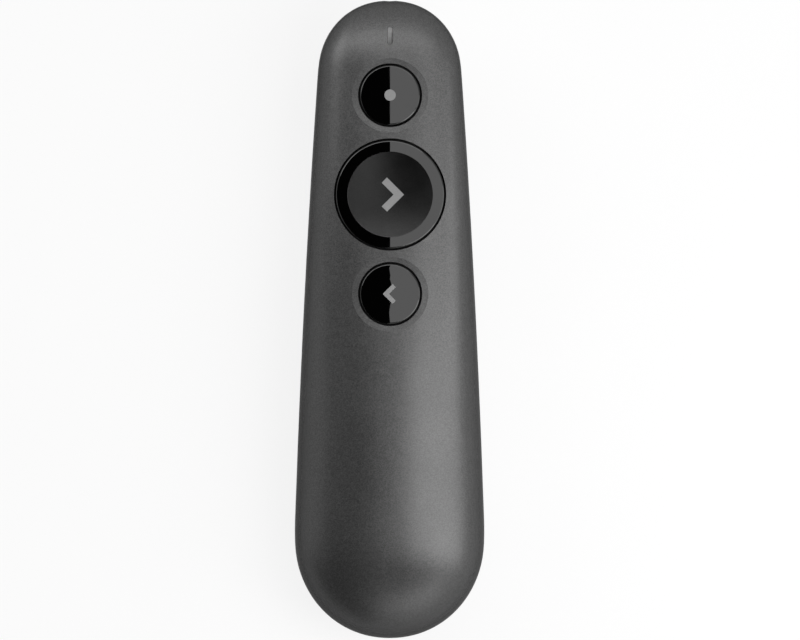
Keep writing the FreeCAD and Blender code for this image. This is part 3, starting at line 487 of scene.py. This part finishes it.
make_metal("contact_nickel", grey(0.50, 0.03), grey(0.66, 0.03), lines=(4000, 4000, 80), rough=0.28)
make_metal("spring_steel", grey(0.42, 0.02), grey(0.58, 0.02), lines=(2500, 2500, 2500), rough=0.30)
make_metal("screw_steel", grey(0.30, 0.02), grey(0.42, 0.02), lines=(1500, 1500, 5000), rough=0.34,
           tarnish=grey(0.22, 0.06))
make_metal("crystal_steel", grey(0.55, 0.01), grey(0.68, 0.01), lines=(4000, 80, 4000), rough=0.30)
make_metal("barrel_brass", (0.62, 0.42, 0.16, 1), (0.78, 0.56, 0.25, 1), lines=(300, 6000, 300),
           rough=0.25, tarnish=(0.42, 0.26, 0.10, 1))
make_metal("diode_metal", (0.70, 0.52, 0.24, 1), (0.85, 0.66, 0.34, 1), lines=(300, 5000, 300),
           rough=0.22)
make_metal("plug_steel", grey(0.48, 0.01), grey(0.62, 0.01), lines=(5000, 60, 5000), rough=0.26)
make_metal("contact_gold", (0.86, 0.62, 0.22, 1), (0.96, 0.74, 0.32, 1), lines=(5000, 100, 5000),
           rough=0.20)

# %% [markdown]
# ### Battery cells
# Each cell is a steel can in a printed sleeve: dark over most of its length, with a copper band at
# the end with the nub, and bare metal at both ends. The two cells lie opposite ways, so each has its
# own bands, measured in millimetres from the shoulder under its nub. The value toward is 1 for a
# nub that points to the tip and -1 for one that points to the tail. A sleeve could be an image
# wrapped round the can, but plain bands of colour need none, and nothing is written on them.

# %% Battery cells
nub_height = 1.0
sleeve_start = 0.7
sleeve_end = 43.0
copper_end = 13.0
foil_metallic = 0.7


def make_cell(slot, shoulder, toward):
    tree, shader = new_finish(slot)
    low, high = sorted((shoulder - toward * sleeve_start, shoulder - toward * sleeve_end))
    sleeve = place(tree, band, Along=(0, 1, 0), From=low, To=high)["Mask"]
    low, high = sorted((shoulder, shoulder - toward * copper_end))
    nub_end = place(tree, band, Along=(0, 1, 0), From=low, To=high)["Mask"]
    grain = place(tree, fine_speckle, Size=0.1, Contrast=0.5)["Tone"]
    dark = blend_colour(tree, grain, grey(0.012), grey(0.02))
    copper = blend_colour(tree, grain, (0.42, 0.22, 0.09, 1), (0.52, 0.29, 0.13, 1))
    drawn = place(tree, drawn_lines, Stretch=(200, 5000, 200))
    steel = blend_colour(tree, drawn["Tone"], grey(0.5, 0.02), grey(0.64, 0.02))
    printed = blend_colour(tree, nub_end, dark, copper)
    feed(tree, shader["Base Color"], blend_colour(tree, sleeve, steel, printed))
    bare = calculate(tree, "SUBTRACT", 1.0, sleeve)
    foil = calculate(tree, "MULTIPLY", nub_end, foil_metallic)
    feed(tree, shader["Metallic"], calculate(tree, "ADD", bare, foil, clamp=True))
    handled = place(tree, soft_mottle, Size=4.0, Low=0.22, High=0.34)["Value"]
    feed(tree, shader["Roughness"], handled)
    bump(tree, shader, drawn["Height"], depth=0.003)
    tell(slot)


tip_of_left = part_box("battery_left")[1].y / mm
tail_of_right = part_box("battery_right")[0].y / mm
make_cell("cell_wrap", tip_of_left - nub_height, 1)
make_cell("cell_wrap_right", tail_of_right + nub_height, -1)
print("cells from", round(tip_of_left, 1), "and", round(tail_of_right, 1))

# %% [markdown]
# ### Circuit boards
# A board is glass cloth under green solder mask. Copper runs show through it as slightly raised,
# paler green lines. Straight runs come from a brick pattern whose mortar is the copper, laid twice,
# the second time crosswise and wider apart, and a slow mottle leaves parts of the board without any.

# %% Circuit boards
def copper_runs(tree, where, width, length, apart):
    bricks = {"Vector": where, "Scale": 1.0, "Mortar Size": width * mm, "Mortar Smooth": 0.0,
              "Brick Width": length * mm, "Row Height": apart * mm}
    return add(tree, "TexBrick", bricks).outputs["Fac"]


def make_board():
    tree, shader = new_finish("board_laminate")
    where = place_on_piece(tree)
    turned = add(tree, "Mapping", {"Vector": where, "Rotation": (0, 0, math.pi / 2)}).outputs[0]
    runs = copper_runs(tree, where, width=0.12, length=4.2, apart=1.3)
    cross = copper_runs(tree, turned, width=0.1, length=5.6, apart=2.9)
    patches = place(tree, soft_mottle, Size=6.0, Low=0.0, High=1.0)["Value"]
    bare_share = 0.45
    chosen = calculate(tree, "GREATER_THAN", patches, bare_share)
    copper = calculate(tree, "MULTIPLY", calculate(tree, "MAXIMUM", runs, cross), chosen)
    weave = place(tree, fine_speckle, Size=0.25, Contrast=0.5)
    green = blend_colour(tree, weave["Tone"], (0.006, 0.045, 0.018, 1), (0.009, 0.06, 0.026, 1))
    raised = blend_colour(tree, copper, green, (0.02, 0.13, 0.05, 1))
    worn = place(tree, edge_wear, Reach=0.12, Amount=0.9)["Mask"]
    feed(tree, shader["Base Color"], blend_colour(tree, worn, raised, (0.42, 0.38, 0.24, 1)))
    lacquer = place(tree, soft_mottle, Size=9.0, Low=0.24, High=0.34)["Value"]
    feed(tree, shader["Roughness"], lacquer)
    cloth = calculate(tree, "MULTIPLY", weave["Height"], 0.2)
    bump(tree, shader, calculate(tree, "ADD", copper, cloth), depth=0.02)


make_board()
tell("board_laminate")

# %% [markdown]
# ### Two-stuff components
# A tact switch is black plastic with a steel lid on top. A capacitor is a glazed brown block between
# pale tinned ends. Each is one solid, so a band in the material parts its stuffs, and no solid has
# to be cut. The band holds the stuff that shines more: the lid, and the glazed block.

# %% Switch bodies and capacitors
lid_thickness = 0.3
past_lid = 1.0
block_half = 0.45


def make_two_stuffs(slot, along, low, high, dark, light, shiny):
    tree, shader = new_finish(slot)
    in_band = place(tree, band, Along=along, From=low, To=high)["Mask"]
    grain = place(tree, fine_speckle, Size=0.1, Contrast=0.8)
    lines = place(tree, drawn_lines, Stretch=(5000, 200, 5000))["Tone"]
    plain = blend_colour(tree, grain["Tone"], dark, light)
    shining = blend_colour(tree, lines, scaled(shiny, 0.8), shiny)
    feed(tree, shader["Base Color"], blend_colour(tree, in_band, plain, shining))
    feed(tree, shader["Metallic"], in_band)
    uneven = place(tree, soft_mottle, Size=1.5, Low=0.3, High=0.42)["Value"]
    feed(tree, shader["Roughness"], uneven)
    bump(tree, shader, grain["Height"], depth=0.003)
    tell(slot)


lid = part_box("next_switch_body")[1].z / mm
make_two_stuffs("switch_plastic", (0, 0, 1), lid - lid_thickness, lid + past_lid,
                grey(0.012), grey(0.02), grey(0.6))
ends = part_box("board_capacitors")
middle = (ends[0].y + ends[1].y) / 2 / mm
make_two_stuffs("capacitor_ceramic", (0, 1, 0), middle - block_half, middle + block_half,
                grey(0.6), grey(0.7), (0.30, 0.19, 0.11, 1))
print("switch lid above", round(lid - lid_thickness, 2), "capacitors round", round(middle, 2))

# %% [markdown]
# ### Glass
# The lens and the window of the laser are clear, with the faint dullness of a touched surface. An
# even roughness would look too perfect, so a mottle moves it. The window is tinted red.

# %% Lens and window
def make_glass(slot, tint, low, high):
    tree, shader = new_finish(slot, Transmission_Weight=1.0, IOR=1.5, Metallic=0.0)
    smear = place(tree, soft_mottle, Size=1.2, Low=low, High=high)["Value"]
    feed(tree, shader["Roughness"], smear)
    cloud = place(tree, soft_mottle, Size=2.0, Low=0.0, High=1.0)["Value"]
    feed(tree, shader["Base Color"], blend_colour(tree, cloud, tint, scaled(tint, 0.96)))
    tell(slot)


make_glass("lens_glass", (0.86, 0.90, 0.96, 1), low=0.0, high=0.05)
make_glass("window_glass", (0.30, 0.10, 0.10, 1), low=0.02, high=0.08)

# %% [markdown]
# ## Dress the pieces
# The record says which finish each piece has. Every node takes the material of its slot, and the
# right cell takes the bands that suit the way it lies.

# %% Dress the pieces
slot_of = {row["node"]: row["material_slot"] for row in frame["record"]["subparts"]}
for name, piece in frame["nodes"].items():
    piece.data.materials.clear()
    piece.data.materials.append(finishes[slot_of[name]])
frame["nodes"]["battery_right"].data.materials[0] = finishes["cell_wrap_right"]
print("dressed", len(slot_of), "pieces in", len(finishes), "finishes")

# %% [markdown]
# ## Air
# Camera, mirror and glass rays see floor and air white, as on a product page. Every other ray gets
# only a little plain light from the air, so that the lamps do the modelling. Light Path tells the
# rays apart. Colours are shown as they are written, with the Standard view.

# %% Air
def seen_directly(tree):
    path = add(tree, "LightPath").outputs
    first = calculate(tree, "MAXIMUM", path["Is Camera Ray"], path["Is Glossy Ray"])
    return calculate(tree, "MAXIMUM", first, path["Is Transmission Ray"])


white = 1.0
plain_air = 0.15
studio.view_settings.view_transform = "Standard"
air = bpy.data.worlds.new("studio air")
air.use_nodes = True
studio.world = air
air.node_tree.nodes.clear()
strength = spread(air.node_tree, seen_directly(air.node_tree), plain_air, white)
sky = add(air.node_tree, "Background", {"Color": grey(white), "Strength": strength})
feed(air.node_tree, add(air.node_tree, "OutputWorld").inputs["Surface"], sky.outputs[0])
print("air:", plain_air, "for plain rays and", white, "where it is seen")

# %% [markdown]
# ## Floor
# The clicker lies on pale paper. Most of what the camera sees of it is an even white, and the rest is
# the paper's own diffuse shade, so the shadow of the clicker stays on it. From below the floor can be
# seen through, so that the back of the clicker can be looked at too.
# A flat sheet is one face, for the floor here and for the black cards further on.

# %% Floor
def flat_sheet(name, corners, finish):
    mesh = bpy.data.meshes.new(name)
    mesh.from_pydata(corners, [], [tuple(range(len(corners)))])
    mesh.materials.append(finish)
    made = bpy.data.objects.new(name, mesh)
    studio.collection.objects.link(made)
    return made


def make_floor_paper():
    tree, shader = new_finish("floor", Roughness=0.7)
    paper = place(tree, soft_mottle, Size=60.0, Low=0.0, High=1.0)["Value"]
    feed(tree, shader["Base Color"], blend_colour(tree, paper, grey(0.79), grey(0.81)))
    glow = add(tree, "Emission", {"Color": grey(white), "Strength": white}).outputs[0]
    glow_share = 0.85
    seen = calculate(tree, "MULTIPLY", seen_directly(tree), glow_share)
    shade = tree.nodes["Principled BSDF"].outputs[0]
    above = add(tree, "MixShader", {0: seen, 1: shade, 2: glow}).outputs[0]
    below = add(tree, "BsdfTransparent").outputs[0]
    from_below = add(tree, "NewGeometry").outputs["Backfacing"]
    shown = add(tree, "MixShader", {0: from_below, 1: above, 2: below}).outputs[0]
    feed(tree, tree.nodes["Material Output"].inputs["Surface"], shown)


make_floor_paper()
tell("floor")
floor_half = 3.0
floor_corners = [(x * floor_half, y * floor_half, 0) for x, y in ((-1, -1), (1, -1), (1, 1), (-1, 1))]
floor = flat_sheet("floor", floor_corners, finishes["floor"])
floor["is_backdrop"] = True
print("floor", 2 * floor_half, "m wide")

# %% [markdown]
# ## Studio lights
# The gloss caps act as mirrors that look straight up. Their left half is black and their right half
# grey, so above the clicker hang a black card and a dim light card, and they meet where the lens sees
# them in the middle of the caps. Two small softboxes close on the right draw the broad light band
# along the body, which a far lamp would draw too narrow. Those beyond the tip light the front end and
# the lower half of the dish, and one beyond the tail lights that end.
# Sizes and places are in metres. Width runs level and depth up the slope of the lamp. A lamp's
# strength is its radiance, so that size and strength can be chosen apart.

# %% Lamps and the dim card
def lamp(name, location, aim, width, depth, radiance):
    data = bpy.data.lights.new(name, "AREA")
    data.shape = "RECTANGLE"
    data.size = width
    data.size_y = depth
    data.energy = radiance * math.pi * width * depth
    made = bpy.data.objects.new(name, data)
    made.location = location
    made.rotation_mode = "QUATERNION"
    made.rotation_quaternion = (Vector(location) - Vector(aim)).to_track_quat("Z", "Y")
    made.visible_camera = False
    studio.collection.objects.link(made)


card_height = 1.25
caps_height = 28 * mm
meeting = -lens_x * (card_height - caps_height) / (camera.location.z - caps_height)
dim_width = 1.6
dim_x = meeting + dim_width / 2

lamp("dim card", (dim_x, 0.17, card_height), (dim_x, 0.17, 0), dim_width, depth=0.38, radiance=1.3)
lamp("right softbox", (0.19, -0.085, 0.33), (0, -0.03, 0.02), width=0.17, depth=0.28, radiance=5.0)
lamp("middle right softbox", (0.36, -0.06, 0.2), (0, -0.04, 0.02), width=0.3, depth=0.16, radiance=3.2)
lamp("tail softbox", (0.3, -0.8, 0.5), (0, -0.05, 0), width=0.7, depth=0.4, radiance=2.2)
lamp("left tip softbox", (-0.8, 0.6, 0.7), (0, 0.03, 0), width=0.7, depth=0.5, radiance=3.5)
lamp("tip card", (0.1, 0.78, 1.04), (0, 0.03, 0), width=1.2, depth=0.4, radiance=3.5)
print("cards meet at", round(meeting / mm, 2), "mm")

# %% [markdown]
# ## Black cards
# Gloss and satin surfaces would mirror the white air, so black cards take its place where the real
# clicker shows black. The overhead card leaves a strip free on the right, where the dim card hangs.
# The upright card stands beyond the tail on the left. The camera doesn't see the cards, and they
# cast no shadow.

# %% Black cards
tree, shader = new_finish("card_black", Roughness=0.9, Specular_IOR_Level=0.0)
felt = place(tree, fine_speckle, Size=3.0, Contrast=0.5)["Tone"]
feed(tree, shader["Base Color"], blend_colour(tree, felt, grey(0.0002), grey(0.0006)))

left = -2.6
right = 1.2
near = -2.6
far = 0.5
strip = -0.02
overhead = [(left, near), (right, near), (right, strip), (meeting, strip), (meeting, far), (left, far)]
upright = [(-2.0, 0.0), (-0.05, 0.0), (-0.05, 0.4), (-2.0, 0.4)]
upright_y = -0.5
card_outlines = {
    "overhead_black_card": [(x, y, card_height) for x, y in overhead],
    "tail_black_card": [(x, upright_y, z) for x, z in upright],
}
for name, corners in card_outlines.items():
    card = flat_sheet(name, corners, finishes["card_black"])
    card.visible_camera = False
    card.visible_shadow = False
    card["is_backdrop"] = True
print("black cards ready:", len(card_outlines))

# %% [markdown]
# ## Finish
# The last cell prints the box before and after dressing, in millimetres.

# %% Finish
box_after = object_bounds()
boxes_in_mm = [[round(value / mm, 2) for value in corner] for corner in (*box_before, *box_after)]
print("box before and after in mm:", boxes_in_mm)
